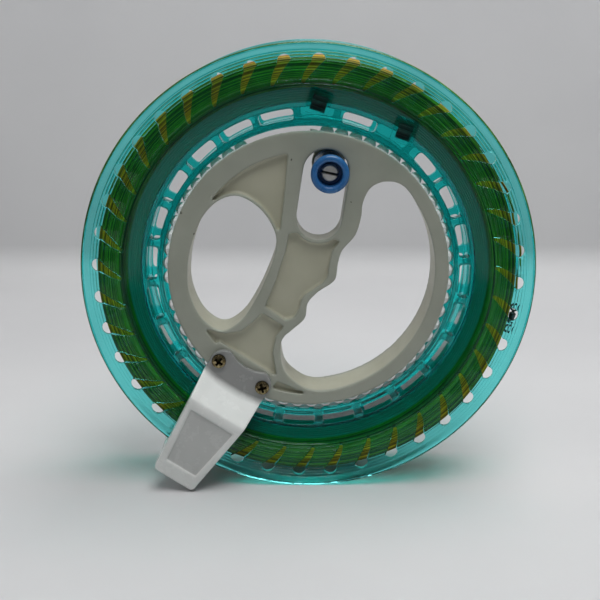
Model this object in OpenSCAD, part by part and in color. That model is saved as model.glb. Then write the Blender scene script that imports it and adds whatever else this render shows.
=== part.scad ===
// Hand line reel: a grip hub, a flanged spool that turns round it on balls, a guide arm and a folding knob.
// Z is up and the spool's axis runs along Y. The side with the guide arm faces -Y.
// The origin is under the middle of the reel, on the surface that it stands on.

/* [Spool] */
// Outer radius of both flanges
rim_r = 90; // [86:1:94]
// Number of comma holes in each flange
comma_n = 40; // [36:1:40]
// Outer radius of the wound line
line_r = 83; // [78:0.5:83]
// Wall thickness of the spool's mouldings
spool_t = 1.8; // [1.6:0.1:1.9]

/* [Hub] */
// Thickness of the grip
hub_t = 18; // [17:0.5:18]
// Height of the rims round the finger holes over the web
web_drop = 2.5; // [1.5:0.5:4]

/* [Bearing] */
// Radius of one ball
ball_r = 2.75; // [2.7:0.01:2.78]
// Number of places round the race, some of them empty
ball_places = 61; // [50:1:61]

/* [Guide arm] */
// Direction of the arm, counter-clockwise from +X
arm_angle = 236.8; // [230:0.2:240]
// Distance from the axis to the arm's tip
arm_end = 101; // [98:0.5:101]

/* [Crank] */
// Radius of the knob's flared end
knob_flare_r = 7.5; // [6.5:0.1:7.6]
// Radius of the knob's body
knob_r = 5.9; // [5:0.1:6]

/* [Hidden] */
$fn = 96;
e = 0.01;

// Depths: z counts towards the front, from the front rim's plane
arm_face = 7;
front_dish = 5;
drum_depth = 24;
rear_dish = 7;
hub_front = -front_dish;
hub_back = hub_front - hub_t;
web_back = -front_dish - drum_depth;
rear_rim = web_back - rear_dish;
mid_split = -17;
mid_depth = (arm_face + rear_rim) / 2;

// Ball race
race_r = 55.8;
race_gap = 2.8;
race_in = race_r - race_gap;
race_out = race_r + race_gap;
race_z = -9.2;
race_half = 3;
lip_r = 56.3;
lip_t = 1.2;
rear_lip_r = 55.4;
rear_ring_r = 54.2;
ball_pitch = 360 / ball_places;
EMPTY = [[88, 115], [183, 192]];

// Spool rings
cell_in = race_out + 1.6;
drum_in = 65.3;
drum_r = 67;
band_r = 73;
slot_phase = 11.6;
slot_n = 24;
slot_arc = 12.4;
box_angle = 71.6;
box_off = 15;
box_r = 66.9;
box_w = 9;
box_wall = 1.5;
box_front = -2.4;
box_back = -8.4;

// Crank
crank_angle = 78.3;
knob_at = 40.95;
hinge_at = 51;
hinge_z = -33.6;
crank_half = 1.9;
knuckle_r = 2.3;
hinge_pin_r = 1.2;
run = 0.05;
plate_front = web_back - 0.3;
plate_back = plate_front - 1.8;
plate_half = 10;
plate_root = 49;
root_r = 53.4;
barrel_half = 6.4;
knob_pin_r = 2.95;
knob_front = 1.5;
pin_shoulder = -6;

// Screws
ring_screw_at = [[46.5, 62], [45.5, 114], [44, 237]];
ring_screw_r = 1.2;
arm_screw_u = 50.2;
arm_screw_v = 10.4;
arm_screw_r = 1.2;
screw_head_r = 2.9;

module on_axis() translate([0, mid_depth, rim_r]) rotate([90, 0, 0]) children();
module slab(z0, z1) translate([0, 0, min(z0, z1)]) linear_extrude(abs(z1 - z0)) children();
module disc(r, z0, z1) translate([0, 0, min(z0, z1)]) cylinder(r = r, h = abs(z1 - z0));

// A closed smooth curve through the given points, k steps to a span
function curve_at(p, i, t) =
    let (n = len(p), a = p[(i + n - 1) % n], b = p[i], c = p[(i + 1) % n], d = p[(i + 2) % n])
    0.5 * (2 * b + (c - a) * t + (2 * a - 5 * b + 4 * c - d) * t * t + (3 * b - a - 3 * c + d) * t * t * t);
function smooth(p, k) = [for (i = [0:len(p) - 1]) for (j = [0:k - 1]) curve_at(p, i, j / k)];
// The same outline, grown outwards by g; the points run counter-clockwise
function out_dir(p, i) =
    let (n = len(p), t = p[(i + 1) % n] - p[(i + n - 1) % n]) [t[1], -t[0]] / norm(t);
function grown(p, g) = [for (i = [0:len(p) - 1]) p[i] + g * out_dir(p, i)];
function polar(r, a) = [r * cos(a), r * sin(a)];

// Finger holes in the hub, counter-clockwise
HOLE_LEFT = [[-27, 30.5], [-35, 29], [-42, 22], [-46.5, 11], [-48.3, 1], [-47.8, -9], [-43, -19.5],
    [-35, -24.5], [-27, -20], [-21, -11], [-16.3, -1], [-13.2, 8], [-13.2, 16], [-18.5, 25]];
HOLE_RIGHT = concat(
    [for (a = [-80:12:28]) polar(50.7, a)],
    [[38, 34], [31, 36.4], [24.8, 34.2], [21.6, 28.5], [20.9, 22.5], [18.7, 15], [13.6, 9],
     [11.8, 3], [10.6, -3.5], [4, -8.2], [-0.2, -13], [-1.2, -19], [-5.8, -23.6], [-10.4, -28],
     [-11.2, -34], [-9.9, -41.3], [-6.1, -45.9], [0.1, -49.6]]);
SLOT_TOP = [6.9, 40.1];
SLOT_FOOT = [4.2, 21.9];
slot_half = 9;
// The slot is wider at the back, where the knob's flare swings through
slot_relief = 1.2;
slot_relief_t = 5;
function slot_outline(g) =
    let (d = SLOT_TOP - SLOT_FOOT, a = atan2(d[1], d[0]))
    concat([for (t = [-90:9:90]) SLOT_TOP + polar(slot_half + g, a + t)],
           [for (t = [90:9:270]) SLOT_FOOT + polar(slot_half + g, a + t)]);

module hub_holes(g) {
    polygon(grown(smooth(HOLE_LEFT, 5), g));
    polygon(grown(smooth(HOLE_RIGHT, 4), g));
    polygon(slot_outline(g));
}

// Sunk panels of the web: above the left hole, along the grip and round the arm's seat
PANEL_TOP = [[-50, 28.2], [-38.5, 28.2], [-24, 20], [-11.2, 16.8], [-10.3, 24.6], [-9.1, 35], [-8.6, 42], [-7.6, 50], [-50, 50]];
PANEL_GRIP = [[-7.6, 15.7], [-8.7, 9.7], [-12.7, -3.2], [-17.4, -14.4], [-9.3, -20.1], [-5.8, -19], [-3.6, -15.2],
    [-3, -11.8], [-1.3, -9.4], [5.6, -4.6], [7.8, -1.8], [8.3, 3], [9.6, 8.8], [12.6, 12.6], [10.2, 13.4],
    [7.4, 12], [4, 11.5], [0.4, 12.2], [-2.4, 13.8], [-4.2, 16]];
PANEL_ARM = [[-47, -21.5], [-38, -24.8], [-33, -25.8], [-27, -24.6], [-22, -20.5], [-18.6, -17], [-9.8, -22.6],
    [-13.3, -27], [-14.5, -34], [-13, -44], [-9, -52], [-52, -52]];
CRESCENT = [[-15, -45.6], [-10, -47.4], [-4.5, -49.9], [0, -51], [2.4, -51.3], [2.4, -51.8], [-3, -51.6], [-9, -50.7], [-15, -49.3]];
panel_edge_r = 48;
boss_r = 4;
module web_panels(bosses) difference() {
    union() {
        intersection() {
            circle(panel_edge_r);
            union() {
                polygon(PANEL_TOP);
                polygon(PANEL_ARM);
            }
        }
        polygon(PANEL_GRIP);
        polygon(CRESCENT);
    }
    hub_holes(1);
    rotate(arm_angle) translate([44, -14.5]) square([15, 29]);
    if (bosses) ring_screw_places() circle(boss_r);
}

module ring_screw_places() for (s = ring_screw_at) rotate(s[1]) translate([s[0], 0]) children();
module arm_screw_places() rotate(arm_angle) for (v = [-1, 1]) translate([arm_screw_u, v * arm_screw_v]) children();

// The grip: a thick plate with two finger holes, the knob's slot and the front lip over the balls
module hub_grip() color("ghostwhite") on_axis() difference() {
    union() {
        disc(race_in, hub_front, hub_back);
        disc(lip_r, hub_front, hub_front - lip_t);
    }
    slab(hub_back - 1, hub_front + 1) hub_holes(0);
    slab(hub_back - 1, hub_back + slot_relief_t) polygon(slot_outline(slot_relief));
    slab(hub_front - web_drop, hub_front + 1) web_panels(false);
    slab(hub_back - 1, hub_back + web_drop) web_panels(true);
    ring_screw_places() disc(ring_screw_r, hub_back - 1, hub_back + 9);
    arm_screw_places() disc(arm_screw_r, hub_front - 10, hub_front + 1);
}

module crank_frame() on_axis() rotate(crank_angle) children();
module hinge_rod(r, v0, v1) translate([hinge_at, v0, hinge_z]) rotate([-90, 0, 0]) cylinder(r = r, h = v1 - v0);

// Screw tabs of the rear ring, in plan
module ring_tabs() {
    difference() {
        circle(rear_ring_r);
        circle(race_in - 2);
    }
    intersection() {
        circle(rear_ring_r);
        ring_screw_places() {
            circle(3.4);
            translate([0, -3.4]) square([12, 6.8]);
        }
    }
}

// The rear ring: closes the race behind the balls and carries the crank's hinge
module hub_back_ring() color("ghostwhite") {
    on_axis() difference() {
        union() {
            difference() {
                union() {
                    disc(rear_lip_r, race_z - race_half, race_z - race_half - lip_t);
                    disc(rear_ring_r, race_z - race_half, hub_back);
                }
                disc(race_in, race_z, hub_back - 1);
            }
            slab(hub_back - 2, hub_back) ring_tabs();
            rotate(crank_angle) intersection() {
                slab(plate_back, hub_back - 1) translate([plate_root, -plate_half]) square([8, 2 * plate_half]);
                disc(root_r, plate_back, hub_back);
            }
            rotate(crank_angle) slab(plate_back, plate_front) hinge_plate();
            rotate(crank_angle) for (v = [-plate_half, barrel_half + 0.3]) knuckle(v);
        }
        ring_screw_places() disc(ring_screw_r + 0.2, hub_back - 3, hub_back + 1);
        rotate(crank_angle) hinge_rod(hinge_pin_r, -plate_half - 1, plate_half + 1);
    }
}
module hinge_plate() {
    translate([plate_root, -plate_half]) square([hinge_at - plate_root, 2 * plate_half]);
    for (v = [-1, 1]) translate([hinge_at, v * (plate_half - 2)]) circle(2);
    translate([hinge_at - e, -plate_half + 2]) square([2, 2 * plate_half - 4]);
}
module knuckle(v) {
    w = plate_half - barrel_half - 0.3;
    hinge_rod(knuckle_r, v, v + w);
    translate([hinge_at - knuckle_r, v, hinge_z]) cube([2 * knuckle_r, w, plate_back - hinge_z + e]);
}

// A pan-head screw with a crossed recess; its head's seat is at z = 0 and its shank points down
module pan_screw(shank_r, len) difference() {
    union() {
        translate([0, 0, -len]) cylinder(r = shank_r, h = len + e);
        rotate_extrude() polygon([[0, 0], [screw_head_r, 0], [screw_head_r, 0.8], [screw_head_r - 0.7, 1.5], [0, 1.8]]);
    }
    for (a = [0, 90]) rotate(a) translate([-1.7, -0.35, 0.9]) cube([3.4, 0.7, 2]);
}
module ring_screws() color("silver") on_axis()
    ring_screw_places() translate([0, 0, hub_back - 2]) mirror([0, 0, 1]) pan_screw(ring_screw_r, 9);
module arm_screws() color("darkkhaki") on_axis()
    arm_screw_places() translate([0, 0, hub_front + 2.6]) rotate(20) pan_screw(arm_screw_r, 11);

// Loose clear balls, packed side by side but for the empty stretches
function is_empty(a) = len([for (g = EMPTY) if (a > g[0] && a < g[1]) 1]) > 0;
module bearing_balls() color("aliceblue") on_axis()
    for (i = [0:ball_places - 1])
        let (a = i * ball_pitch)
        if (!is_empty(a)) rotate(a) translate([race_r, 0, race_z]) sphere(r = ball_r, $fn = 24);

// One comma hole, round and wide at the outside and narrow at the inside
function comma_mid(t) = polar(83.1 - 8.1 * t, 4.2 * t);
function comma_half(t) = 2.75 - 2 * t;
function comma_outline() = concat(
    [for (t = [0:0.25:1]) comma_mid(t) + polar(comma_half(t) + 0.5 * sin(180 * t), 100)],
    [comma_mid(1) + polar(comma_half(1), 180)],
    [for (t = [1:-0.25:0]) comma_mid(t) + polar(comma_half(t) - 0.2 * sin(180 * t), -80)],
    [for (a = [-55:25:75]) comma_mid(0) + polar(comma_half(0), a)]);
comma_phase = 6.4;
module comma_holes() for (i = [0:comma_n - 1]) rotate(comma_phase + i * 360 / comma_n) polygon(comma_outline());

// One slot of the inner ring, with cut corners, a little narrower than the hollow behind it
slot_in = cell_in + 0.3;
slot_out = drum_in - 0.3;
slot_corner = 0.9;
slot_sector = concat(
    [for (a = [-1:0.25:1]) polar(slot_out, a * (slot_arc / 2 - 0.9))],
    [polar(slot_out - slot_corner, slot_arc / 2), polar(slot_in + slot_corner, slot_arc / 2)],
    [for (a = [1:-0.25:-1]) polar(slot_in, a * (slot_arc / 2 - 0.9))],
    [polar(slot_in + slot_corner, -slot_arc / 2), polar(slot_out - slot_corner, -slot_arc / 2)]);
function is_box(i) = let (a = slot_phase + i * 360 / slot_n) abs(abs(a - box_angle) - box_off) < 2;
module slots(all) for (i = [0:slot_n - 1])
    if (all || !is_box(i)) rotate(slot_phase + i * 360 / slot_n) polygon(slot_sector);

module box_frame(side) rotate(box_angle + side * box_off) translate([box_r, 0]) rotate(-side * box_off) children();
module box_square(w) translate([-w / 2, -w / 2]) square(w);

// Front half: dished flange, slotted ring, the race and half of the drum
module spool_front() color("darkturquoise", 0.6) on_axis() difference() {
    union() {
        rotate_extrude() polygon([
            [race_out, race_z - race_half], [race_out, race_z + race_half], [race_out - 0.5, race_z + race_half],
            [race_out - 0.5, hub_front], [drum_in, hub_front], [band_r, -3.6], [band_r, -2.8],
            [rim_r - 2.6, -0.6], [rim_r - 1.6, 0], [rim_r - 0.5, 0], [rim_r, -0.5], [rim_r, -2.6], [rim_r - 0.8, -3.4],
            [rim_r - 2.4, -2.9], [band_r, -2.8 - spool_t], [drum_r, -5.2 - spool_t], [drum_r, mid_split],
            [drum_in, mid_split], [drum_in, hub_front - 5], [cell_in, hub_front - 5], [cell_in, mid_split],
            [race_out, mid_split]]);
        for (s = [-1, 1]) slab(box_back, box_front) box_frame(s) box_square(box_w);
    }
    slab(-12, 1) comma_holes();
    slab(-12, 1) slots(false);
    for (s = [-1, 1]) slab(box_back - 1, box_front + 1) box_frame(s) box_square(box_w - 2 * box_wall);
}

// Rear half: the matching flange, ring and the rest of the drum
module spool_rear() color("darkturquoise", 0.6) on_axis() difference() {
    rotate_extrude() polygon([
        [race_out - 0.5, web_back], [drum_r, web_back], [band_r, web_back - 1], [band_r, web_back - 1.8],
        [rim_r - 2.6, rear_rim + 0.6], [rim_r - 1.6, rear_rim], [rim_r - 0.5, rear_rim], [rim_r, rear_rim + 0.5],
        [rim_r, rear_rim + 2.6], [rim_r - 0.8, rear_rim + 3.4], [rim_r - 2.4, rear_rim + 2.9],
        [band_r, web_back - 1.8 + spool_t], [drum_r, web_back + spool_t], [drum_r, mid_split - e],
        [drum_in, mid_split - e], [drum_in, web_back + 2], [cell_in, web_back + 2], [cell_in, mid_split - e],
        [race_out - 0.5, mid_split - e]]);
    slab(rear_rim - 1, web_back + 6) comma_holes();
    slab(web_back - 1, web_back + 3) slots(true);
}

// Dark plug with a cross ridge, in each square box of the slotted ring
module box_plug(side) color("darkslategray") on_axis() {
    w = box_w - 2 * box_wall;
    slab(box_back, box_back + 2) box_frame(side) box_square(w);
    slab(box_back + 2 - e, box_back + 3.4) box_frame(side) translate([-0.6, -w / 2]) square([1.2, w]);
}
module box_plug_left() box_plug(1);
module box_plug_right() box_plug(-1);

// The wound line as one body between the flanges
module line_winding() color("olivedrab") on_axis() rotate_extrude() polygon([
    [drum_r, box_back - 0.3], [72.4, box_back - 0.3], [band_r + 0.4, -5], [line_r - 1, -3.9],
    [line_r, -5], [line_r, rear_rim + 5.8], [line_r - 1, rear_rim + 4.9], [band_r, web_back + 0.6],
    [drum_r, web_back + spool_t + 0.4]]);

// The loose end of the line: angle, radius and depth of points along it
tail_r = 0.45;
TAIL = [[30, 82.8, -9], [27, 83.6, -8.6], [24, 84.4, -8], [21, 84.9, -7.4], [18, 84.5, -7], [15, 84, -7.2],
    [12, 84.2, -7.8], [9, 84.9, -8.2], [6, 85.3, -8], [3, 84.9, -7.4], [0, 84.2, -7], [-2.5, 84, -7.2],
    [-5, 84.4, -7.8], [-7, 84.9, -8.2], [-8.6, 85, -8.4]];
function tail_point(i) = [TAIL[i][1] * cos(TAIL[i][0]), TAIL[i][1] * sin(TAIL[i][0]), TAIL[i][2]];
TAIL_XYZ = [for (i = [0:len(TAIL) - 1]) tail_point(i)];
tail_steps = 2;
function open_at(p, i, t) =
    let (n = len(p), a = p[max(i - 1, 0)], b = p[i], c = p[i + 1], d = p[min(i + 2, n - 1)])
    0.5 * (2 * b + (c - a) * t + (2 * a - 5 * b + 4 * c - d) * t * t + (3 * b - a - 3 * c + d) * t * t * t);
TAIL_PATH = concat([for (i = [0:len(TAIL) - 2]) for (j = [0:tail_steps - 1]) open_at(TAIL_XYZ, i, j / tail_steps)],
    [TAIL_XYZ[len(TAIL) - 1]]);
module swept(path, r, sides) {
    n = len(path);
    dirs = [for (i = [0:n - 1]) let (d = path[min(i + 1, n - 1)] - path[max(i - 1, 0)]) d / norm(d)];
    rings = [for (i = [0:n - 1])
        let (u = cross(dirs[i], [0, 0, 1]), un = u / norm(u), vn = cross(dirs[i], un))
        for (k = [0:sides - 1]) path[i] + r * (cos(360 * k / sides) * un + sin(360 * k / sides) * vn)];
    walls = [for (i = [0:n - 2]) for (k = [0:sides - 1])
        [i * sides + k, i * sides + (k + 1) % sides, (i + 1) * sides + (k + 1) % sides, (i + 1) * sides + k]];
    polyhedron(rings, concat(walls, [[for (k = [sides - 1:-1:0]) k], [for (k = [0:sides - 1]) (n - 1) * sides + k]]));
}
module line_tail() color("khaki") on_axis() swept(TAIL_PATH, tail_r, 8);

// Small barrel swivel on the line's end
swivel_angle = -13.4;
swivel_r = 85.1;
module tail_swivel() color("black") on_axis() rotate(swivel_angle) translate([swivel_r, 0, -8.4]) rotate([-90, 0, 0]) {
    translate([0, 0, -2.2]) cylinder(r = 1.5, h = 4.4);
    for (s = [-1, 1]) translate([0, 0, s * 2.2 - 0.8]) cylinder(r = 0.8, h = 1.6);
    for (s = [-1, 1]) translate([0, 0, s * 4.6]) rotate([90, 0, 0]) rotate_extrude($fn = 48)
        translate([1.5, 0]) circle(0.4, $fn = 24);
}

// Guide arm: screwed to the hub, it steps over the front flange and turns back over the rim
module arm_side() polygon([[44.6, hub_front], [44.6, hub_front + 2.6], [56.5, hub_front + 2.6], [66.5, arm_face],
    [arm_end, arm_face], [arm_end, 1.4], [95.6, 0.4], [95.6, -24], [92.3, -24], [92.3, 0.8], [66.5, 0.8],
    [59.6, -1.9], [57.8, hub_front + 0.4], [57, hub_front + 0.4], [56.4, hub_front]]);
module arm_plan() polygon(concat(
    [for (a = [180:15:270]) [50.2, -8.2] + polar(5.6, a)],
    [[56.5, -13.6], [67.5, -12.8], [arm_end - 3, -9.6]],
    [for (a = [-90:22.5:0]) [arm_end - 2, -7.6] + polar(2, a)],
    [for (a = [0:22.5:90]) [arm_end - 2, 7.6] + polar(2, a)],
    [[arm_end - 3, 9.6], [67.5, 12.8], [56.5, 13.6]],
    [for (a = [90:15:180]) [50.2, 8.2] + polar(5.6, a)],
    [[46.4, 4], [47, 0], [46.4, -4]]));
module guide_arm() color("white") on_axis() rotate(arm_angle) difference() {
    intersection() {
        translate([0, 15, 0]) rotate([90, 0, 0]) linear_extrude(30) arm_side();
        slab(-30, 10) arm_plan();
    }
    slab(arm_face - 0.8, arm_face + 1) polygon([[70.8, -10.2], [94.8, -7], [94.8, 7], [70.8, 10.2]]);
    slab(0, arm_face - 2.4) polygon([[69, -10.6], [90, -8], [90, 8], [69, 10.6]]);
    for (v = [-1, 1]) translate([arm_screw_u, v * arm_screw_v, -10]) cylinder(r = arm_screw_r + 0.2, h = 20);
    translate([90, 0, -17]) rotate([0, 90, 0]) cylinder(r = 4.4, h = 10);
}

// Smooth metal eye in the arm's tail, in line with the middle of the spool
module line_eyelet() color("silver") on_axis() rotate(arm_angle) translate([92.3, 0, -17]) rotate([0, 90, 0])
    rotate_extrude() polygon([[3.4, 0], [4.4, 0], [4.4, 3.3], [5.4, 3.3], [5.4, 4], [4.6, 4.4], [3.8, 4.2], [3.4, 3.6]]);

// Crank arm: hinge barrel, flat arm and the seat of the knob's pin
module crank_arm() color("ghostwhite") crank_frame() difference() {
    union() {
        hinge_rod(knuckle_r, -barrel_half, barrel_half);
        slab(hinge_z - crank_half, hinge_z + crank_half) polygon([[hinge_at, -barrel_half + 0.6],
            [hinge_at, barrel_half - 0.6], [knob_at, 6.8], [knob_at, -6.8]]);
        translate([knob_at, 0, 0]) disc(6.8, hinge_z - crank_half, hinge_z + crank_half);
    }
    hinge_rod(hinge_pin_r + run, -barrel_half - 1, barrel_half + 1);
    translate([knob_at, 0, 0]) disc(knob_pin_r, hinge_z - 3, hinge_z + 3);
}
module hinge_pin() color("silver") crank_frame() hinge_rod(hinge_pin_r, -plate_half + 0.2, plate_half - 0.2);

// Snap pin of the knob, split at its free end
module knob_pin() color("ivory") crank_frame() translate([knob_at, 0, 0]) difference() {
    rotate_extrude() polygon([[0, hinge_z - crank_half], [knob_pin_r, hinge_z - crank_half],
        [knob_pin_r, pin_shoulder + 0.2], [3.5, pin_shoulder + 0.2], [3.5, pin_shoulder + 1.2], [3, -2.2], [0, -2.2]]);
    translate([-0.5, -5, -16]) cube([1, 10, 20]);
}

// The knob: a straight body that flares at its open end
module winding_knob() color("steelblue") crank_frame() translate([knob_at, 0, 0]) rotate_extrude() polygon([
    [knob_pin_r + run, -31.2], [knob_r - 0.6, -31.2], [knob_r, -30.6], [knob_r, -6], [knob_r + 0.5, -3.5],
    [knob_flare_r, -1.4], [knob_flare_r, 0.7], [knob_flare_r - 0.8, knob_front], [5.4, knob_front], [4.9, 1],
    [4.9, pin_shoulder], [knob_pin_r + run, pin_shoulder]]);

hub_grip();
hub_back_ring();
ring_screws();
bearing_balls();
spool_front();
spool_rear();
box_plug_left();
box_plug_right();
line_winding();
line_tail();
tail_swivel();
guide_arm();
arm_screws();
line_eyelet();
crank_arm();
hinge_pin();
knob_pin();
winding_knob();
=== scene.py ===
import math

import bmesh
import bpy
import numpy as np
from mathutils import Matrix, Vector


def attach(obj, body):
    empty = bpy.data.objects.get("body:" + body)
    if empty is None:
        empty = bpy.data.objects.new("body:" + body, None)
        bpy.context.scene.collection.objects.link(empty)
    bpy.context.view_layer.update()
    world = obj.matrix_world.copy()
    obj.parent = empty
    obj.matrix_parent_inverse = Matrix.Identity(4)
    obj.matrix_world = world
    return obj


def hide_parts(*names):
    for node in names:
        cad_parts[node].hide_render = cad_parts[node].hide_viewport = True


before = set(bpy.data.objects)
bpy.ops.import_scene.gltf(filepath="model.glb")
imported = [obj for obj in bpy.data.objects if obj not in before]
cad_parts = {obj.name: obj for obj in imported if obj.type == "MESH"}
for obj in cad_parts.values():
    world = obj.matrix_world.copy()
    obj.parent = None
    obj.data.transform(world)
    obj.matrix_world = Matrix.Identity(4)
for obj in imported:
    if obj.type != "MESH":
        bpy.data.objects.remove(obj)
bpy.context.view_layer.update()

# Looks of the hand line reel. Shapes are worked out in millimetres on the reel's own axes,
# x to the right, y up from the spool's axis, and depth towards the viewer from the front rim's plane.
MM = 0.001
AXIS_UP = 90.0
AXIS_BACK = 14.5
rng = np.random.default_rng(7)

# Sizes shared with the CAD
RIM_R, LINE_R, SPOOL_T = 90.0, 83.0, 1.8
HUB_FRONT, HUB_BACK = -5.0, -23.0
WEB_BACK, REAR_RIM = -29.0, -36.0
MID_SPLIT = -17.0
RACE_R, RACE_OUT, RACE_Z, RACE_HALF = 55.8, 58.6, -9.2, 3.0
CELL_IN, DRUM_IN, DRUM_R, BAND_R = 60.2, 65.3, 67.0, 73.0
BALL_R, BALL_PLACES, BALL_GAPS = 2.75, 61, ((88, 115), (183, 192))
COMMA_N, COMMA_PHASE = 40, 6.4
SLOT_N, SLOT_PHASE, SLOT_ARC = 24, 11.6, 12.4
SLOT_IN, SLOT_OUT = CELL_IN + 0.3, DRUM_IN - 0.3
BOX_ANGLE, BOX_OFF, BOX_R, BOX_W, BOX_WALL = 71.6, 15.0, 66.9, 9.0, 1.5
BOX_FRONT, BOX_BACK = -2.4, -8.4
CRANK_ANGLE, KNOB_AT = 78.3, 40.95
HINGE_AT, HINGE_Z, HINGE_PIN_R, HINGE_HALF = 51.0, -33.6, 1.2, 9.8
ARM_ANGLE, ARM_FACE = 236.8, 7.0
ARM_SCREWS = [(50.2, 10.4), (50.2, -10.4)]
RING_SCREWS = [(46.5, 62), (45.5, 114), (44, 237)]
TAIL_R = 0.45
TAIL = [[30, 82.8, -9], [27, 83.6, -8.6], [24, 84.4, -8], [21, 84.9, -7.4], [18, 84.5, -7], [15, 84, -7.2],
    [12, 84.2, -7.8], [9, 84.9, -8.2], [6, 85.3, -8], [3, 84.9, -7.4], [0, 84.2, -7], [-2.5, 84, -7.2],
    [-5, 84.4, -7.8], [-7, 84.9, -8.2], [-8.6, 85, -8.4]]
SWIVEL_ANGLE, SWIVEL_R, SWIVEL_Z = -13.4, 85.1, -8.4


def to_row(points):
    """Points on the reel's axes in mm as points of the row frame in metres."""
    p = np.asarray(points, float).reshape(-1, 3) * MM
    return np.column_stack((p[:, 0], -p[:, 2] - AXIS_BACK * MM, p[:, 1] + AXIS_UP * MM))


def polar(r, degrees):
    return (r * math.cos(math.radians(degrees)), r * math.sin(math.radians(degrees)))


# ---------------------------------------------------------------- camera, floor and light
def camera():
    data = bpy.data.cameras.new("camera")
    data.lens, data.sensor_width = 64.8, 36.0
    obj = bpy.data.objects.new("camera", data)
    obj.location = (-0.0033, -0.4291, 0.191)
    obj.rotation_euler = (math.radians(75), 0, 0)
    bpy.context.scene.collection.objects.link(obj)
    bpy.context.scene.camera = obj


camera()


# ---------------------------------------------------------------- nodes of the materials
GRAIN = 900          # noise scale of moulded plastic's fine grain
PEEL_DEPTH = 0.0002  # depth of its bumps, in metres


class Look:
    """A material and short calls that add nodes to it."""

    def __init__(self, name):
        self.mat = bpy.data.materials.new(name)
        self.mat.use_nodes = True
        self.tree = self.mat.node_tree
        self.tree.nodes.clear()
        self.out = self.node("OutputMaterial")
        self.coords = self.node("TexCoord").outputs["Object"]

    def node(self, kind, values=None, **props):
        n = self.tree.nodes.new("ShaderNode" + kind)
        for key, value in props.items():
            setattr(n, key, value)
        for key, value in (values or {}).items():
            n.inputs[key].default_value = value
        return n

    def link(self, a, b):
        self.tree.links.new(a, b)

    def noise(self, scale, detail=3.0, rough=0.5, coords=None):
        n = self.node("TexNoise", {"Scale": scale, "Detail": detail, "Roughness": rough})
        self.link(coords or self.coords, n.inputs["Vector"])
        return n.outputs["Fac"]

    def ramp(self, fac, stops):
        n = self.node("ValToRGB")
        bar = n.color_ramp.elements
        while len(bar) < len(stops):
            bar.new(0.5)
        for e, (at, colour) in zip(bar, stops):
            e.position, e.color = at, (*colour, 1)
        self.link(fac, n.inputs["Fac"])
        return n.outputs["Color"]

    def spread(self, fac, low, high):
        """A factor from 0.3 to 0.7 as a value from low to high."""
        n = self.node("MapRange", {"From Min": 0.3, "From Max": 0.7, "To Min": low, "To Max": high})
        self.link(fac, n.inputs["Value"])
        return n.outputs["Result"]

    def bump(self, height, strength, distance):
        n = self.node("Bump", {"Strength": strength, "Distance": distance})
        self.link(height, n.inputs["Height"])
        return n.outputs["Normal"]

    def principled(self, colour=None, roughness=None, normal=None, **values):
        n = self.node("BsdfPrincipled", {k.replace("_", " "): v for k, v in values.items()})
        for key, source in (("Base Color", colour), ("Roughness", roughness), ("Normal", normal)):
            if source is None:
                continue
            if hasattr(source, "is_output"):
                self.link(source, n.inputs[key])
            else:
                n.inputs[key].default_value = source
        return n.outputs["BSDF"]

    def math(self, operation, a, b=None):
        n = self.node("Math", operation=operation)
        for i, source in enumerate((a, b)):
            if hasattr(source, "is_output"):
                self.link(source, n.inputs[i])
            elif source is not None:
                n.inputs[i].default_value = source
        return n.outputs[0]

    def split(self):
        n = self.node("SeparateXYZ")
        self.link(self.coords, n.inputs["Vector"])
        return n.outputs

    def radius(self):
        """Distance from the spool's axis, in metres."""
        xyz = self.split()
        up = self.math("SUBTRACT", xyz["Z"], AXIS_UP * MM)
        squares = self.math("ADD", self.math("POWER", xyz["X"], 2.0), self.math("POWER", up, 2.0))
        return self.math("SQRT", squares)

    def grey(self, value):
        """A number as a grey of that strength."""
        n = self.node("CombineXYZ")
        for axis in "XYZ":
            self.link(value, n.inputs[axis])
        return n.outputs["Vector"]

    def times(self, a, b):
        """Two colours multiplied."""
        n = self.node("Mix", data_type="RGBA", blend_type="MULTIPLY")
        n.inputs["Factor"].default_value = 1.0
        self.link(a, n.inputs["A"])
        self.link(b, n.inputs["B"])
        return n.outputs["Result"]

    def surface(self, shader):
        self.link(shader, self.out.inputs["Surface"])
        return self.mat


def plastic(name, dark, light, rough, bump, mottle):
    """Moulded plastic: mottled colour, fine grain in the gloss and a faint orange peel."""
    k = Look(name)
    colour = k.ramp(k.noise(mottle, 4), [(0.32, dark), (0.68, light)])
    gloss = k.spread(k.noise(GRAIN / 4, 4, 0.65), rough - 0.07, rough + 0.09)
    peel = k.bump(k.noise(GRAIN, 3), bump, PEEL_DEPTH)
    return k.surface(k.principled(colour, gloss, peel))


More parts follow.
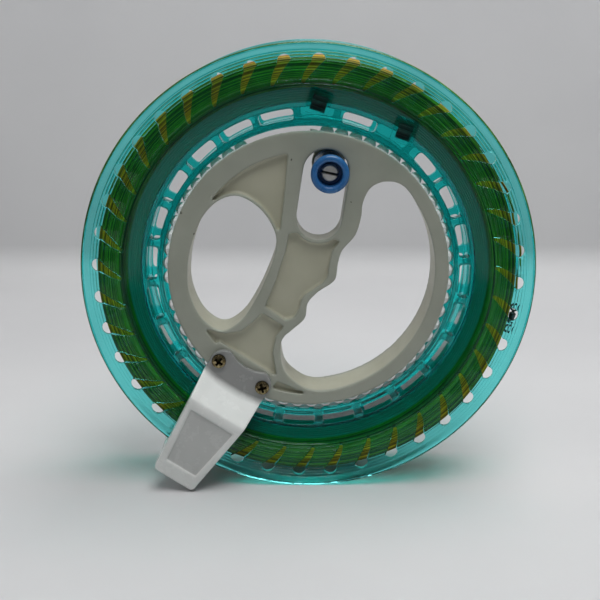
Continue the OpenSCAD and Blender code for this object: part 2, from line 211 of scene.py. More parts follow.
def clear(name, colour, shadow, ior, thick=None, clarity=1.0):
    """Clear plastic. Lamps shine through it with a tint, so that what lies behind is lit.
    thick is the deeper colour of the mouldings inside the flanges' bands."""
    k = Look(name)
    dark, light = tuple(c * 0.93 for c in colour), tuple(min(1, c * 1.05) for c in colour)
    tone = k.ramp(k.noise(45, 3), [(0.3, dark), (0.7, light)])
    if thick:
        far = k.node("MapRange", {"From Min": (BAND_R - 0.6) * MM, "From Max": (BAND_R + 0.4) * MM,
            "To Min": 1.0, "To Max": 0.0})
        k.link(k.radius(), far.inputs["Value"])
        mix = k.node("Mix", data_type="RGBA")
        k.link(far.outputs["Result"], mix.inputs["Factor"])
        k.link(tone, mix.inputs["A"])
        mix.inputs["B"].default_value = (*thick, 1)
        tone = mix.outputs["Result"]
    gloss = k.spread(k.noise(180, 3), 0.01, 0.06)
    peel = k.bump(k.noise(240, 2), 0.03, 0.0003)
    body = k.principled(tone, gloss, peel, Transmission_Weight=clarity, IOR=ior)
    lamp = k.node("BsdfTransparent", {"Color": (*shadow, 1)})
    mix = k.node("MixShader")
    k.link(k.node("LightPath").outputs["Is Shadow Ray"], mix.inputs["Fac"])
    k.link(body, mix.inputs[1])
    k.link(lamp.outputs["BSDF"], mix.inputs[2])
    return k.surface(mix.outputs["Shader"])


def metal(name, dark, light, rough, scale, deep=None):
    """Plated metal with dulled patches and fine scratches. Between the two depths of deep, in mm along Y,
    it darkens into a painted shade for a recess."""
    k = Look(name)
    colour = k.ramp(k.noise(scale, 4, 0.6), [(0.35, dark), (0.62, light)])
    if deep:
        # painted shade: metal deeper than the top of the screw head, in the cross recess and round the head's lower
        # side, is darkened almost to black
        recess_shade = k.node("MapRange", {"From Min": deep[0] * MM, "From Max": deep[1] * MM, "To Min": 0.04, "To Max": 1.0})
        k.link(k.split()["Y"], recess_shade.inputs["Value"])
        colour = k.times(colour, k.grey(recess_shade.outputs["Result"]))
    gloss = k.spread(k.noise(scale * 3, 3), rough - 0.1, rough + 0.14)
    scratch = k.bump(k.noise(scale * 6, 2), 0.06, 0.0001)
    return k.surface(k.principled(colour, gloss, scratch, Metallic=1.0))


def cord_look():
    """Wound synthetic line: gold, a little different from turn to turn, with the twist as bumps."""
    k = Look("line_gold")
    # turns differ by radius and depth, so the colour is looked up there
    ring = k.node("CombineXYZ")
    k.link(k.radius(), ring.inputs["X"])
    k.link(k.split()["Y"], ring.inputs["Y"])
    turns = k.noise(1500, 1, coords=ring.outputs["Vector"])
    colour = k.ramp(turns, [(0.4, (0.11, 0.06, 0.001)), (0.5, (0.34, 0.21, 0.004)), (0.6, (0.66, 0.42, 0.012))])
    shade = k.ramp(k.noise(130, 4, 0.6), [(0.3, (0.6, 0.66, 0.5)), (0.7, (1, 1, 1))])
    # the lowest turns, behind the thick band, are painted a teal colour for the coloured light that reaches them
    # through it
    low = k.node("MapRange", {"From Min": (BAND_R - 0.9) * MM, "From Max": (BAND_R - 0.3) * MM,
        "To Min": 1.0, "To Max": 0.0})
    k.link(k.radius(), low.inputs["Value"])
    mix = k.node("Mix", {"B": (0.07, 0.40, 0.29, 1)}, data_type="RGBA")
    k.link(low.outputs["Result"], mix.inputs["Factor"])
    k.link(k.times(colour, shade), mix.inputs["A"])
    twist = k.bump(k.noise(2600, 3, 0.6), 0.6, 0.0003)
    return k.surface(k.principled(mix.outputs["Result"], 0.55, twist, Specular_IOR_Level=0.25))


def hub_look():
    """Grey moulding whose sunk webs are painted warmer and lighter for the light that shines through them, with a few
    dark specks.
    """
    k = Look("hub_plastic_look")
    grain = k.noise(60, 4)
    grey = k.ramp(grain, [(0.32, (0.315, 0.33, 0.275)), (0.68, (0.36, 0.375, 0.315))])
    # painted light: the sunk webs get this lighter, warmer colour, as if lit through from behind
    warm = k.ramp(grain, [(0.32, (0.42, 0.415, 0.315)), (0.68, (0.47, 0.465, 0.36))])
    middle = -(HUB_FRONT + HUB_BACK) / 2 - AXIS_BACK
    off = k.math("ABSOLUTE", k.math("SUBTRACT", k.split()["Y"], middle * MM))
    sunk = k.node("MapRange", {"From Min": 6.9 * MM, "From Max": 8.6 * MM, "To Min": 1.0, "To Max": 0.0})
    k.link(off, sunk.inputs["Value"])
    tone = k.node("Mix", data_type="RGBA")
    k.link(sunk.outputs["Result"], tone.inputs["Factor"])
    k.link(grey, tone.inputs["A"])
    k.link(warm, tone.inputs["B"])
    specks = k.ramp(k.noise(260, 2), [(0.76, (1, 1, 1)), (0.79, (0.2, 0.2, 0.18))])
    gloss = k.spread(k.noise(220, 4, 0.65), 0.3, 0.46)
    peel = k.bump(k.noise(GRAIN, 3), 0.08, PEEL_DEPTH)
    return k.surface(k.principled(k.times(tone.outputs["Result"], specks), gloss, peel,
        Subsurface_Weight=0.18, Subsurface_Radius=(1.0, 1.0, 0.8), Subsurface_Scale=0.002))


def arm_look():
    """White moulding with painted shade at its foot and in the thin panel sunk into its plate, and painted light on the
    step up to its plate.
    """
    k = Look("arm_plastic_look")
    white = k.ramp(k.noise(60, 4), [(0.32, (0.69, 0.70, 0.68)), (0.68, (0.77, 0.78, 0.76))])
    radius = k.radius()
    # painted shade: the foot, low behind the step, is darkened
    foot = k.node("MapRange", {"From Min": 56 * MM, "From Max": 59 * MM, "To Min": 0.29, "To Max": 1.0})
    k.link(radius, foot.inputs["Value"])
    # painted shade: the floor of the thin panel sunk into the plate is darkened
    floor = -(ARM_FACE - 0.8 + AXIS_BACK) * MM
    near = k.math("ABSOLUTE", k.math("SUBTRACT", k.split()["Y"], floor))
    inset = k.math("MULTIPLY", k.math("LESS_THAN", near, 0.25 * MM), k.math("GREATER_THAN", radius, 69.5 * MM))
    # painted light: from the foot out to the step up to the plate, which faces the top lamp, the colour is lightened
    step = k.node("MapRange", {"From Min": 66 * MM, "From Max": 70 * MM, "To Min": 1.27, "To Max": 1.0})
    k.link(radius, step.inputs["Value"])
    shade = k.math("MULTIPLY", k.math("MULTIPLY", foot.outputs["Result"], step.outputs["Result"]),
        k.math("SUBTRACT", 1.0, k.math("MULTIPLY", inset, 0.3)))
    gloss = k.spread(k.noise(220, 4, 0.65), 0.18, 0.32)
    peel = k.bump(k.noise(GRAIN, 3), 0.05, PEEL_DEPTH)
    return k.surface(k.principled(k.times(white, k.grey(shade)), gloss, peel,
        Subsurface_Weight=0.15, Subsurface_Radius=(1.0, 1.0, 1.0), Subsurface_Scale=0.002))


HUB_PLASTIC = hub_look()
ARM_PLASTIC = arm_look()
KNOB_PLASTIC = plastic("knob_blue_look", (0.018, 0.11, 0.30), (0.03, 0.15, 0.38), 0.3, bump=0.06, mottle=120)
PIN_PLASTIC = plastic("pin_ivory_look", (0.62, 0.60, 0.52), (0.72, 0.70, 0.63), 0.3, bump=0.05, mottle=300)
PLUG_PLASTIC = plastic("plug_dark_look", (0.004, 0.02, 0.018), (0.012, 0.05, 0.042), 0.35, bump=0.08, mottle=300)
SPOOL_PLASTIC = clear("spool_teal_look", (0.17, 0.79, 0.78), (0.20, 0.69, 0.62), ior=1.33, thick=(0.015, 0.58, 0.56))
BALL_PLASTIC = clear("ball_clear_look", (0.94, 0.95, 0.94), (0.93, 0.95, 0.94), ior=1.22, clarity=0.85)
LINE_GOLD = cord_look()
# deep sets where the screws' painted recess shade begins and ends
SCREW_METAL = metal("screw_brass_look", (0.08, 0.06, 0.025), (0.36, 0.29, 0.16), 0.24, 900, deep=(-12.9, -13.4))
STEEL = metal("steel_look", (0.42, 0.42, 0.42), (0.66, 0.66, 0.65), 0.28, 700)
BLACK_METAL = plastic("swivel_black_look", (0.006, 0.006, 0.007), (0.03, 0.03, 0.032), 0.3, bump=0.2, mottle=900)


# ---------------------------------------------------------------- mesh helpers
def fillet(poly, reach, steps=3, closed=True):
    """The same outline with each corner rounded, reach being how far from the corner the curve starts."""
    out, n = [], len(poly)
    for i, p in enumerate(poly):
        p = np.array(p, float)
        if not closed and i in (0, n - 1):
            out.append(tuple(p))
            continue
        to_a, to_b = np.array(poly[i - 1], float) - p, np.array(poly[(i + 1) % n], float) - p
        la, lb = np.linalg.norm(to_a), np.linalg.norm(to_b)
        a, b = p + to_a / la * min(reach, 0.45 * la), p + to_b / lb * min(reach, 0.45 * lb)
        for k in range(steps + 1):
            t = k / steps
            out.append(tuple((1 - t) ** 2 * a + 2 * t * (1 - t) * p + t * t * b))
    return out


def wrapped(n, m, spans):
    """Faces between n rows of m points, round the rows, with so many spans along each."""
    return [(i * m + j, (i + 1) % n * m + j, (i + 1) % n * m + (j + 1) % m, i * m + (j + 1) % m)
        for i in range(n) for j in range(spans)]


def lathe(profile, n, closed=True):
    """Turns [(radius, depth)] round the axis. An open profile starts and ends on the axis."""
    angles = np.arange(n) * 2 * math.pi / n
    ring = profile if closed else profile[1:-1]
    m = len(ring)
    verts = np.array([(r * math.cos(a), r * math.sin(a), z) for a in angles for r, z in ring])
    faces = wrapped(n, m, m if closed else m - 1)
    if not closed:
        top = len(verts)
        verts = np.vstack((verts, [(0, 0, profile[0][1]), (0, 0, profile[-1][1])]))
        faces += [(top, ((i + 1) % n) * m, i * m) for i in range(n)]
        faces += [(top + 1, i * m + m - 1, ((i + 1) % n) * m + m - 1) for i in range(n)]
    return verts, faces


def joined(parts):
    """Several (points, faces) parts as one."""
    verts, faces, base = [], [], 0
    for v, f in parts:
        verts.append(np.asarray(v, float))
        faces += [tuple(i + base for i in face) for face in f]
        base += len(v)
    return np.vstack(verts), faces


def moved(part, matrix):
    v, f = part
    m = np.array(matrix)
    return np.asarray(v) @ m[:3, :3].T + m[:3, 3], f


def turned(degrees, axis="Z"):
    return Matrix.Rotation(math.radians(degrees), 4, axis)


def at(x, y, z, turn=0.0, tilt=0.0):
    """A place, turned about the spool's axis after a tilt about X."""
    return Matrix.Translation((x, y, z)) @ turned(turn) @ turned(tilt, "X")


def new_object(name, part):
    mesh = bpy.data.meshes.new(name)
    mesh.from_pydata(to_row(part[0]).tolist(), [], part[1])
    obj = bpy.data.objects.new(name, mesh)
    bpy.context.scene.collection.objects.link(obj)
    return obj


def facing_out(mesh):
    bm = bmesh.new()
    bm.from_mesh(mesh)
    bmesh.ops.recalc_face_normals(bm, faces=bm.faces)
    bm.to_mesh(mesh)
    bm.free()


def settle(obj):
    """Applies the object's modifiers."""
    bpy.context.view_layer.update()
    graph = bpy.context.evaluated_depsgraph_get()
    mesh = bpy.data.meshes.new_from_object(obj.evaluated_get(graph))
    obj.modifiers.clear()
    obj.data = mesh


def dress(obj, body, look, nodes, sharp=35):
    """Shading and material for one piece, which is made to move with its body and hides the CAD parts it stands for."""
    facing_out(obj.data)
    obj.data.shade_smooth()
    obj.data.set_sharp_from_angle(angle=math.radians(sharp))
    obj.data.materials.clear()
    obj.data.materials.append(look)
    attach(obj, body)
    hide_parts(*nodes)
    return obj


def cut(obj, tool, operation="DIFFERENCE"):
    """A boolean of the object with a tool, which is used up."""
    facing_out(tool.data)
    facing_out(obj.data)
    m = obj.modifiers.new("cut", "BOOLEAN")
    m.operation, m.solver, m.object = operation, "EXACT", tool
    settle(obj)
    bpy.data.objects.remove(tool)


def softened(node, name, voxel, passes, body, look):
    """The CAD solid as a finer mesh with softly rounded edges, as it comes from a mould."""
    obj = bpy.data.objects.new(name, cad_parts[node].data.copy())
    bpy.context.scene.collection.objects.link(obj)
    bm = bmesh.new()
    bm.from_mesh(obj.data)
    bmesh.ops.remove_doubles(bm, verts=bm.verts, dist=1e-6)
    bm.to_mesh(obj.data)
    bm.free()
    m = obj.modifiers.new("fine", "REMESH")
    m.mode, m.voxel_size = "VOXEL", voxel * MM
    s = obj.modifiers.new("soft", "SMOOTH")
    s.factor, s.iterations = 0.5, passes
    settle(obj)
    dress(obj, body, look, [node], sharp=60)


# ---------------------------------------------------------------- the loose end of the line
def tail():
    data = bpy.data.curves.new("line_end", "CURVE")
    data.dimensions, data.use_fill_caps = "3D", True
    data.bevel_depth, data.bevel_resolution = TAIL_R * MM, 4
    spline = data.splines.new("BEZIER")
    spline.bezier_points.add(len(TAIL) - 1)
    points = to_row([(*polar(r, a), z) for a, r, z in TAIL])
    for b, p in zip(spline.bezier_points, points):
        b.co = p
        b.handle_left_type = b.handle_right_type = "AUTO"
    spline.resolution_u = 8
    data.materials.append(LINE_GOLD)
    obj = bpy.data.objects.new("line_end", data)
    bpy.context.scene.collection.objects.link(obj)
    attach(obj, "spool")
    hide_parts("line_tail")
    length = sum(s.calc_length() for s in data.splines)
    return obj, points[0], length


def torus(major, minor):
    sides = 14
    ring = []
    for i in range(sides):
        a = 2 * math.pi * i / sides
        ring.append((major + minor * math.cos(a), minor * math.sin(a)))
    return lathe(ring, 36)


def swivel():
    """A barrel swivel: a ribbed barrel between two wire eyes."""
    profile = [(0, 2.3), (0.9, 2.3), (1.35, 1.9), (1.35, 0.5), (1.2, 0.3), (1.2, -0.3), (1.35, -0.5), (1.35, -1.9),
        (0.9, -2.3), (0, -2.3)]
    parts = [lathe(fillet(profile, 0.2, closed=False), 32, closed=False)]
    for s in (-1, 1):
        neck = [(0, s * 3.3), (0.55, s * 3.3), (0.62, s * 2.2), (0, s * 2.1)]
        parts.append(lathe(fillet(neck, 0.1, closed=False), 20, closed=False))
        parts.append(moved(torus(1.5, 0.4), at(0, 0, s * 4.6, tilt=90)))
    part = moved(joined(parts), at(*polar(SWIVEL_R, SWIVEL_ANGLE), SWIVEL_Z, SWIVEL_ANGLE, -90))
    return dress(new_object("end_swivel", part), "spool", BLACK_METAL, ["tail_swivel"])


line_end, line_exit, line_length = tail()
end_swivel = swivel()


# ---------------------------------------------------------------- the spool
def comma_outline(grow):
    """A comma hole, round and wide at the outside and narrow at the inside. t runs from its bulb to its tip."""
    def mid(t):
        return np.array(polar(83.1 - 8.1 * t, 4.2 * t))

    def half(t):
        return 2.75 - 2 * t

    steps = np.linspace(0, 1, 9)
    right = [mid(t) + np.array(polar(half(t) + 0.5 * math.sin(math.pi * t), 100)) for t in steps]
    left = [mid(t) + np.array(polar(half(t) - 0.2 * math.sin(math.pi * t), -80)) for t in steps[::-1]]
    tip = [mid(1) + np.array(polar(half(1), a)) for a in (140, 180, 220, 250)]
    bulb = [mid(0) + np.array(polar(half(0), a)) for a in range(-60, 90, 15)]
    return grown(right + tip + left + bulb, grow)


def slot_outline(grow):
    """A slot of the ring, with rounded ends, as points round the axis."""
    mid_r = (SLOT_IN + SLOT_OUT) / 2
    half = math.radians(SLOT_ARC / 2) * mid_r
    depth = (SLOT_OUT - SLOT_IN) / 2
    flat = fillet([(-half, -depth), (half, -depth), (half, depth), (-half, depth)], 1.5, 6)
    long = []
    for (a, b), (c, d) in zip(flat, flat[1:] + flat[:1]):
        n = max(1, int(math.hypot(c - a, d - b) / 1.2))
        long += [(a + (c - a) * i / n, b + (d - b) * i / n) for i in range(n)]
    points = [np.array(polar(mid_r + d, math.degrees(-s / mid_r))) for s, d in long]
    return grown(points, grow)


def grown(points, g):
    """Moves each point of an outline outwards by g."""
    p = np.array(points)
    t = np.roll(p, -1, 0) - np.roll(p, 1, 0)
    t /= np.linalg.norm(t, axis=1)[:, None]
    area = np.sum(p[:, 0] * np.roll(p[:, 1], -1) - np.roll(p[:, 0], -1) * p[:, 1])
    side = 1 if area > 0 else -1
    return p + g * side * np.column_stack((t[:, 1], -t[:, 0]))


def through_cutter(outline, front, back, lip, turn, round_back=True):
    """A plug that cuts a hole with rounded lips. front and back give the depth of each face at a radius."""
    bends = np.linspace(0, math.pi / 2, 4)
    rows = [(lip, front, 2.0)]
    rows += [(lip * (1 - math.sin(a)), front, -lip * (1 - math.cos(a))) for a in bends]
    if round_back:
        rows += [(lip * (1 - math.sin(a)), back, lip * (1 - math.cos(a))) for a in bends[::-1]]
        rows += [(lip, back, -2.0)]
    else:
        rows += [(0.0, back, -1.0)]
    rings = [outline(grow) for grow, face, off in rows]
    n, last = len(rings[0]), len(rows) - 1
    verts = [(x, y, face(math.hypot(x, y)) + off) for ring, (grow, face, off) in zip(rings, rows) for x, y in ring]
    faces = [(i * n + j, i * n + (j + 1) % n, (i + 1) * n + (j + 1) % n, (i + 1) * n + j)
        for i in range(last) for j in range(n)]
    faces += [tuple(range(n - 1, -1, -1)), tuple(last * n + j for j in range(n))]
    return moved((verts, faces), turned(turn))


def line_between(points):
    """The depth of a broken line through [(radius, depth)], as a function of the radius."""
    r, z = zip(*points)
    return lambda radius: float(np.interp(radius, r, z))


def box_places():
    """Both boxes stand square to the direction half-way between them."""
    for side in (1, -1):
        yield turned(BOX_ANGLE + side * BOX_OFF) @ Matrix.Translation((BOX_R, 0, 0)) @ turned(-side * BOX_OFF)


def block(w, h, z0, z1, soft):
    """A block from depth z0 to z1 with rounded corners."""
    outline = fillet([(-w / 2, -h / 2), (w / 2, -h / 2), (w / 2, h / 2), (-w / 2, h / 2)], soft)
    n = len(outline)
    verts = [(x, y, z) for z in (z0, z1) for x, y in outline]
    faces = [(j, (j + 1) % n, n + (j + 1) % n, n + j) for j in range(n)]
    faces += [tuple(range(n - 1, -1, -1)), tuple(range(n, 2 * n))]
    return np.array(verts), faces


def is_box_slot(i):
    return abs(abs(SLOT_PHASE + i * 360 / SLOT_N - BOX_ANGLE) - BOX_OFF) < 2


# The flanges' faces: the step at the band, the rim's flat and the bead inside it
RIM_FLAT_R, BEAD_R = RIM_R - 2.6, RIM_R - 2.4
STEP_LOW, STEP_HIGH, CHANNEL, RIM_ROUND, BEAD = -3.6, -2.8, -5.2, 0.6, 2.9
REAR_STEP = WEB_BACK - 1.8
FRONT_FACE = line_between([(RACE_OUT - 0.6, HUB_FRONT), (DRUM_IN, HUB_FRONT), (BAND_R, STEP_LOW),
    (BAND_R + 0.01, STEP_HIGH), (RIM_FLAT_R, -RIM_ROUND), (RIM_R, 0)])
FRONT_INSIDE = line_between([(DRUM_R, CHANNEL - SPOOL_T), (BAND_R, STEP_HIGH - SPOOL_T), (BEAD_R, -BEAD),
    (RIM_R, -BEAD)])
REAR_FACE = line_between([(RACE_OUT - 0.6, WEB_BACK), (DRUM_R, WEB_BACK), (BAND_R, WEB_BACK - 1),
    (BAND_R + 0.01, REAR_STEP), (RIM_FLAT_R, REAR_RIM + RIM_ROUND), (RIM_R, REAR_RIM)])
REAR_INSIDE = line_between([(DRUM_R, WEB_BACK + SPOOL_T), (BAND_R, REAR_STEP + SPOOL_T), (BEAD_R, REAR_RIM + BEAD),
    (RIM_R, REAR_RIM + BEAD)])
SEGMENTS = 300
LIP = 0.22
GROOVE = 0.22


def rim_lines(radii):
    """Fine turned grooves in the front flange."""
    out = []
    for r in radii:
        out += [(r - GROOVE, FRONT_FACE(r - GROOVE)), (r, FRONT_FACE(r) - GROOVE), (r + GROOVE, FRONT_FACE(r + GROOVE))]
    return out


def comma_cutters(front, back):
    return [through_cutter(comma_outline, front, back, LIP, COMMA_PHASE + i * 360 / COMMA_N) for i in range(COMMA_N)]


def spool_front():
    race_edge, cell_front = RACE_Z + RACE_HALF, HUB_FRONT - 5
    profile = [(RACE_OUT, race_edge), (RACE_OUT - 0.5, race_edge), (RACE_OUT - 0.5, HUB_FRONT), (DRUM_IN, HUB_FRONT),
        (BAND_R, STEP_LOW), (BAND_R, STEP_HIGH), *rim_lines((74.4, 76.0, 83.2, 84.3, 85.4, 86.5)),
        (RIM_FLAT_R, -RIM_ROUND), (RIM_R - 1.6, 0), (RIM_R - 0.5, 0), (RIM_R, -0.5), (RIM_R, -2.6),
        (RIM_R - 0.8, -3.4), (BEAD_R, -BEAD), (BAND_R, STEP_HIGH - SPOOL_T), (DRUM_R, CHANNEL - SPOOL_T),
        (DRUM_R, MID_SPLIT), (DRUM_IN, MID_SPLIT), (DRUM_IN, cell_front), (CELL_IN, cell_front),
        (CELL_IN, MID_SPLIT), (RACE_OUT, MID_SPLIT)]
    obj = new_object("spool_front_clear", lathe(fillet(profile, 0.28), SEGMENTS))
    frames = joined([moved(block(BOX_W, BOX_W, BOX_BACK, BOX_FRONT, 0.7), m) for m in box_places()])
    cut(obj, new_object("frames", frames), "UNION")
    holes = comma_cutters(FRONT_FACE, FRONT_INSIDE)
    for i in range(SLOT_N):
        if not is_box_slot(i):
            turn = SLOT_PHASE + i * 360 / SLOT_N
            holes.append(through_cutter(slot_outline, FRONT_FACE, lambda r: cell_front, 0.28, turn, False))
    w = BOX_W - 2 * BOX_WALL
    holes += [moved(block(w, w, BOX_BACK - 1, BOX_FRONT + 1, 0.4), m) for m in box_places()]
    cut(obj, new_object("holes", joined(holes)))
    dress(obj, "spool", SPOOL_PLASTIC, ["spool_front"], sharp=28)


def spool_rear():
    split, cell_back = MID_SPLIT - 0.02, WEB_BACK + 2
    profile = [(RACE_OUT - 0.5, WEB_BACK), (DRUM_R, WEB_BACK), (BAND_R, WEB_BACK - 1), (BAND_R, REAR_STEP),
        (RIM_FLAT_R, REAR_RIM + RIM_ROUND), (RIM_R - 1.6, REAR_RIM), (RIM_R - 0.5, REAR_RIM), (RIM_R, REAR_RIM + 0.5),
        (RIM_R, REAR_RIM + 2.6), (RIM_R - 0.8, REAR_RIM + 3.4), (BEAD_R, REAR_RIM + BEAD),
        (BAND_R, REAR_STEP + SPOOL_T), (DRUM_R, WEB_BACK + SPOOL_T), (DRUM_R, split), (DRUM_IN, split),
        (DRUM_IN, cell_back), (CELL_IN, cell_back), (CELL_IN, split), (RACE_OUT - 0.5, split)]
    obj = new_object("spool_rear_clear", lathe(fillet(profile, 0.28), SEGMENTS))
    holes = comma_cutters(REAR_INSIDE, REAR_FACE)
    for i in range(SLOT_N):
        turn = SLOT_PHASE + i * 360 / SLOT_N
        holes.append(through_cutter(slot_outline, lambda r: cell_back, REAR_FACE, 0.0, turn, False))
    cut(obj, new_object("holes", joined(holes)))
    dress(obj, "spool", SPOOL_PLASTIC, ["spool_rear"], sharp=28)


def winding():
    """The wound line: a ridge for each turn, all round the section, each turn a little off true."""
    outline = [(DRUM_R + 0.05, BOX_BACK - 0.5), (72.2, BOX_BACK - 0.5), (BAND_R + 0.6, -5.3), (LINE_R - 1.2, -4.3),
        (LINE_R - 0.1, -5.4), (LINE_R - 0.1, REAR_RIM + 6.2), (LINE_R - 1.2, REAR_RIM + 5.2), (BAND_R, WEB_BACK + 0.9),
        (DRUM_R + 0.05, WEB_BACK + SPOOL_T + 0.5)]
    pitch, per_turn, height = 0.8, 4, 0.32
    points = np.array(fillet(outline, 1.0, 4, closed=False))
    run = np.concatenate(([0], np.cumsum(np.linalg.norm(np.diff(points, axis=0), axis=1))))
    turns = int(run[-1] / pitch)
    s = np.linspace(0, run[-1], turns * per_turn + 1)
    path = np.column_stack([np.interp(s, run, points[:, k]) for k in (0, 1)])
    tangent = np.gradient(path, axis=0)
    tangent /= np.linalg.norm(tangent, axis=1)[:, None]
    outward = np.column_stack((-tangent[:, 1], tangent[:, 0]))
    phase = (np.arange(len(s)) % per_turn) / per_turn
    ridge = np.abs(np.sin(math.pi * phase)) - 1.0
    turn_of = np.minimum(np.arange(len(s)) // per_turn, turns - 1)
    n = SEGMENTS
    angles = np.arange(n) * 2 * math.pi / n
    amount, waves = rng.uniform(0.03, 0.13, turns), rng.integers(1, 6, turns)
    starts = rng.uniform(0, 2 * math.pi, turns)
    lift = rng.uniform(-0.1, 0.0, turns)
    verts = []
    for a in angles:
        off = ridge * height + (lift + amount * (np.sin(waves * a + starts) - 1.0))[turn_of]
        off[0] = off[-1] = -height
        p = path + outward * off[:, None]
        # the winding is lower under the loose end
        beside_tail = abs((math.degrees(a) - 12 + 180) % 360 - 180)
        fuller = 0.2 + 1.3 * min(max((beside_tail - 24) / 30, 0.0), 1.0)
        p[:, 0] += fuller * np.clip((p[:, 0] - DRUM_R) / (LINE_R - DRUM_R), 0, 1)
        verts.append(np.column_stack((p[:, 0] * math.cos(a), p[:, 0] * math.sin(a), p[:, 1])))
    m = len(s)
    turns_of_line = new_object("line_turns", (np.vstack(verts), wrapped(n, m, m)))
    dress(turns_of_line, "spool", LINE_GOLD, ["line_winding"], sharp=180)


def plug(m, name, node):
    """The dark insert of one box: a shelf with a bevelled ridge across it and two small ribs."""
    w, shelf = BOX_W - 2 * BOX_WALL - 0.02, BOX_BACK + 1.8
    parts = [block(w, w, BOX_BACK, shelf + 0.1, 0.3), block(1.3, w - 0.1, shelf, BOX_BACK + 3.3, 0.3)]
    for x in (1.9, -1.9):
        parts.append(moved(block(0.5, w - 1.6, shelf, BOX_BACK + 2.5, 0.15), at(x, 0, 0)))
    dress(new_object(name, moved(joined(parts), m)), "spool", PLUG_PLASTIC, [node])


spool_front()
spool_rear()
winding()
for place, node in zip(box_places(), ("box_plug_left", "box_plug_right")):
    plug(place, node + "_insert", node)


# ---------------------------------------------------------------- balls
def ball():
    """A moulded ball with its faint parting line."""
    profile = []
    for i in range(25):
        a = math.pi * i / 24
        r = BALL_R * (1.006 if i == 12 else 1.0)
        profile.append((max(r * math.sin(a), 0.0), r * math.cos(a)))
    return lathe(profile, 32, closed=False)


def balls():
    """The race's balls, each turned its own way, with the empty places left out."""
    parts = []
    for i in range(BALL_PLACES):
        a = i * 360 / BALL_PLACES
        if any(lo < a < hi for lo, hi in BALL_GAPS):
            continue
        spin = at(*polar(RACE_R, a), RACE_Z, rng.uniform(0, 360), rng.uniform(0, 180))
        parts.append(moved(ball(), spin))
    pieces = new_object("clear_balls", joined(parts))
    dress(pieces, "ball_set", BALL_PLASTIC, ["bearing_balls"], sharp=80)


balls()

# ---------------------------------------------------------------- hub, arm and crank
softened("hub_grip", "grip", 0.55, 6, "hub", HUB_PLASTIC)
softened("hub_back_ring", "rear_ring", 0.5, 3, "hub", HUB_PLASTIC)
softened("guide_arm", "guide_arm_shell", 0.36, 5, "hub", ARM_PLASTIC)
softened("crank_arm", "crank_lever", 0.36, 4, "crank", HUB_PLASTIC)
softened("knob_pin", "split_pin", 0.17, 3, "crank", PIN_PLASTIC)


SCREW_HEAD_R, SCREW_HEAD_H, SCREW_SHANK_R = 2.9, 1.8, 1.2


def pan_screw(length):
    """A pan-head screw with a crossed recess. The head's seat is at depth 0, and the shank points back."""
    head_r, shank_r = SCREW_HEAD_R, SCREW_SHANK_R
    dome = [(head_r * t, SCREW_HEAD_H - 0.75 * t ** 2.6) for t in np.linspace(0, 0.93, 22)]
    side = [(head_r * 0.975, 0.93), (head_r, 0.75), (head_r, 0.1), (head_r - 0.08, 0.0), (shank_r + 0.15, 0.0)]
    thread = []
    z = -0.4
    while z > -length + 1.2:
        thread += [(shank_r - 0.22, z), (shank_r, z - 0.2), (shank_r - 0.22, z - 0.4)]
        z -= 0.55
    shank = [(shank_r - 0.2, -0.2), *thread, (0.25, -length + 0.2), (0, -length)]
    v, f = lathe(dome + side + shank, 72, closed=False)
    # the recess: a cross, a little wider round its middle, sunk into the dome
    arm, width, deep = 1.8, 0.4, 1.4
    x, y = np.abs(v[:, 0]), np.abs(v[:, 1])
    far = np.hypot(v[:, 0], v[:, 1])
    inside = np.minimum(np.maximum(x - arm, y - width), np.maximum(y - arm, x - width))
    inside -= 0.12 * np.exp(-((far - 0.5) ** 2) / 0.1)
    t = np.clip((0.1 - inside) / 0.2, 0, 1)
    v[:, 2] -= np.where(v[:, 2] > 0.9, deep * t * t * (3 - 2 * t) * (1 - 0.3 * far / arm), 0)
    return v, f


def screws(name, places, node, look, length, seat, tilt=0.0):
    """Screws of the hub at [(x, y, turn)], with their heads' seats at one depth."""
    parts = [moved(pan_screw(length), at(x, y, seat, turn, tilt)) for x, y, turn in places]
    dress(new_object(name, joined(parts)), "hub", look, [node], sharp=30)


def arm_places():
    for (u, v), turn in zip(ARM_SCREWS, (14, 52)):
        yield *polar(math.hypot(u, v), ARM_ANGLE + math.degrees(math.atan2(v, u))), turn


def ring_places():
    for r, a in RING_SCREWS:
        yield *polar(r, a), 20 + 3 * a


screws("arm_screw_pair", arm_places(), "arm_screws", SCREW_METAL, 11, HUB_FRONT + 2.6)
screws("ring_screw_set", ring_places(), "ring_screws", STEEL, 9, HUB_BACK - 2, tilt=180)


def crank_at(along, depth=0.0):
    """A place on the folded crank, so far from the spool's axis."""
    return at(*polar(along, CRANK_ANGLE), depth, CRANK_ANGLE)


def knob():
    """The knob: a straight body with one fine groove, flared at its open end."""
    profile = [(3.0, -31.2), (5.3, -31.2), (5.9, -30.6), (5.9, -21.0), (5.75, -20.6), (5.75, -20.2), (5.9, -19.8),
        (5.9, -6), (6.4, -3.5), (7.5, -1.4), (7.5, 0.7), (6.7, 1.5), (5.5, 1.5), (4.95, 1), (4.9, -5.95), (3.0, -5.95)]
    part = moved(lathe(fillet(profile, 0.45, 4), 96), crank_at(KNOB_AT))
    dress(new_object("blue_knob", part), "knob", KNOB_PLASTIC, ["winding_knob"], sharp=50)


def hinge_rod():
    """The crank's pin, with a turned edge at each end."""
    h, r = HINGE_HALF, HINGE_PIN_R
    profile = [(0, h), (r, h), (r, h - 0.5), (r - 0.08, h - 0.7), (r - 0.08, -h + 0.7), (r, -h + 0.5), (r, -h), (0, -h)]
    rod = lathe(fillet(profile, 0.2, closed=False), 40, closed=False)
    part = moved(rod, crank_at(HINGE_AT, HINGE_Z) @ turned(-90, "X"))
    dress(new_object("hinge_rod", part), "hub", STEEL, ["hinge_pin"])


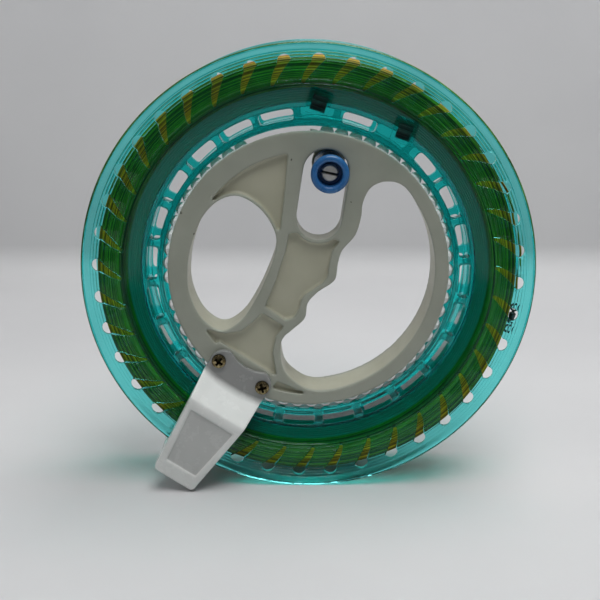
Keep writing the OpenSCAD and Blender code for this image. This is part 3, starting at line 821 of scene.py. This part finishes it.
def eyelet():
    """A rolled metal eye in the arm's tail."""
    profile = [(3.4, 0), (4.35, 0), (4.35, 3.3), (5.35, 3.3), (5.4, 3.9), (4.7, 4.38), (3.9, 4.2), (3.4, 3.6)]
    x, y = polar(92.3, ARM_ANGLE)
    place = at(x, y, MID_SPLIT, ARM_ANGLE) @ turned(90, "Y")
    part = moved(lathe(fillet(profile, 0.35, 4), 64), place)
    dress(new_object("line_eye", part), "hub", STEEL, ["line_eyelet"], sharp=50)


knob()
hinge_rod()
eyelet()


# ---------------------------------------------------------------- floor, backdrop and lights
def backdrop():
    """A pale sheet that lies flat and turns up behind the reel."""
    wall, bend, half, near, top = 0.37, 0.02, 1.6, -0.38, 1.5
    section = [(near, 0)] + [(near + (wall - bend - near) * i / 8, 0) for i in range(1, 9)]
    for a in np.linspace(0.2, math.pi / 2, 8):
        section.append((wall - bend + bend * math.sin(a), bend - bend * math.cos(a)))
    section += [(wall, bend + (top - bend) * i / 6) for i in range(1, 7)]
    columns = 9
    verts = [(-half + 2 * half * i / (columns - 1), y, z) for i in range(columns) for y, z in section]
    m = len(section)
    faces = [(i * m + j, (i + 1) * m + j, (i + 1) * m + j + 1, i * m + j + 1)
        for i in range(columns - 1) for j in range(m - 1)]
    mesh = bpy.data.meshes.new("sweep")
    mesh.from_pydata(verts, [], faces)
    mesh.shade_smooth()
    obj = bpy.data.objects.new("sweep", mesh)
    bpy.context.scene.collection.objects.link(obj)
    k = Look("sweep_look")
    pale = k.ramp(k.noise(7, 4), [(0.3, (0.93, 0.93, 0.935)), (0.7, (1, 1, 1))])
    # painted light and shade: the sheet is darker on the floor and lighter up the wall
    height = k.node("MapRange", {"From Min": 0.02, "From Max": 0.36, "To Min": 0.0, "To Max": 1.0})
    k.link(k.split()["Z"], height.inputs["Value"])
    tone = k.ramp(height.outputs["Result"], [(0.0, (0.66, 0.66, 0.665)), (1.0, (0.84, 0.84, 0.85))])
    mesh.materials.append(k.surface(k.principled(k.times(pale, tone), 0.75, k.bump(k.noise(500, 3), 0.05, 0.0005))))


def lamp(name, size, watts, place, aim):
    data = bpy.data.lights.new(name, "AREA")
    data.shape, data.size, data.size_y = "RECTANGLE", size[0], size[1]
    data.energy = watts
    obj = bpy.data.objects.new(name, data)
    obj.location = place
    obj.rotation_euler = (Vector(aim) - Vector(place)).to_track_quat("-Z", "Y").to_euler()
    bpy.context.scene.collection.objects.link(obj)


def lights():
    world = bpy.data.worlds.new("studio")
    world.use_nodes = True
    sky = world.node_tree.nodes["Background"].inputs
    sky["Color"].default_value, sky["Strength"].default_value = (0.93, 0.96, 1.0, 1), 0.1
    bpy.context.scene.world = world
    lamp("top", (1.8, 0.6), 19.0, (0.25, 0.03, 1.15), (0.12, 0.06, 0))
    lamp("key", (0.5, 0.5), 0.5, (-0.7, -0.5, 0.8), (0, 0, 0.09))
    bpy.context.scene.view_settings.view_transform = "Standard"


backdrop()
lights()
